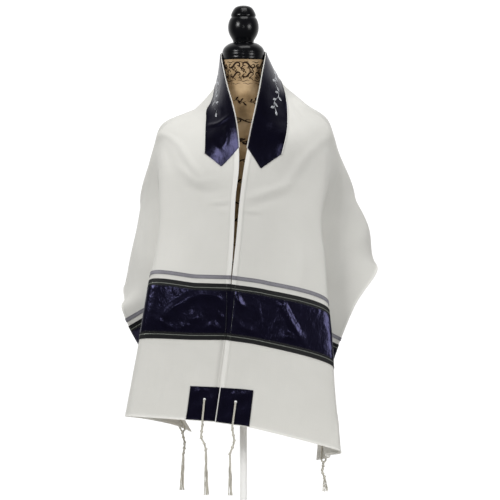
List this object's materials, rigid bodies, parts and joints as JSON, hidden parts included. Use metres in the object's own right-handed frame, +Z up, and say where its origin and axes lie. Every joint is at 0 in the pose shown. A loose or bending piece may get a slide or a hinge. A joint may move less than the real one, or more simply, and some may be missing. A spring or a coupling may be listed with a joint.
{
  "type": "tallit prayer shawl on a dress form",
  "caption": "White prayer shawl with satin and ribbon bands, a satin neck band and knotted corner tassels, worn by a dress form on a slim stand.",
  "frame": {"origin": "centre of the stand's underside, on the floor", "axes": "+Z up, the shawl's front faces -Y, +X to the right of someone who faces the front"},
  "size_m": [0.6199, 0.3374, 1.245],
  "materials": {
    "white_cloth": "plain woven, soft, slightly translucent",
    "grey_ribbon": "woven satin ribbon",
    "black_ribbon": "grosgrain ribbon with a thin silver line",
    "navy_satin": "satin weave, glossy",
    "white_piping": "corded piping",
    "tassel_cord": "spun cord, wound and knotted",
    "form_cover": "linen cover with ink flourishes",
    "black_lacquer": "gloss lacquer",
    "white_enamel": "satin enamel"
  },
  "bodies": {
    "root": {"shawl_cloth": "white_cloth", "left_ribbon_grey": "grey_ribbon", "right_ribbon_grey": "grey_ribbon", "left_ribbon_upper": "black_ribbon", "right_ribbon_upper": "black_ribbon", "left_ribbon_lower": "black_ribbon", "right_ribbon_lower": "black_ribbon", "left_band_satin": "navy_satin", "right_band_satin": "navy_satin", "neck_band": "navy_satin", "neck_piping_inner": "white_piping", "neck_piping_outer": "white_piping", "patch_front_left": "navy_satin", "patch_front_right": "navy_satin", "patch_rear_left": "navy_satin", "patch_rear_right": "navy_satin", "tassel_front_left": "tassel_cord", "tassel_front_right": "tassel_cord", "tassel_rear_left": "tassel_cord", "tassel_rear_right": "tassel_cord", "form_torso": "form_cover", "form_neck_cap": "black_lacquer", "form_finial": "black_lacquer", "stand_pole": "white_enamel", "stand_base": "white_enamel"}
  },
  "joints": []
}
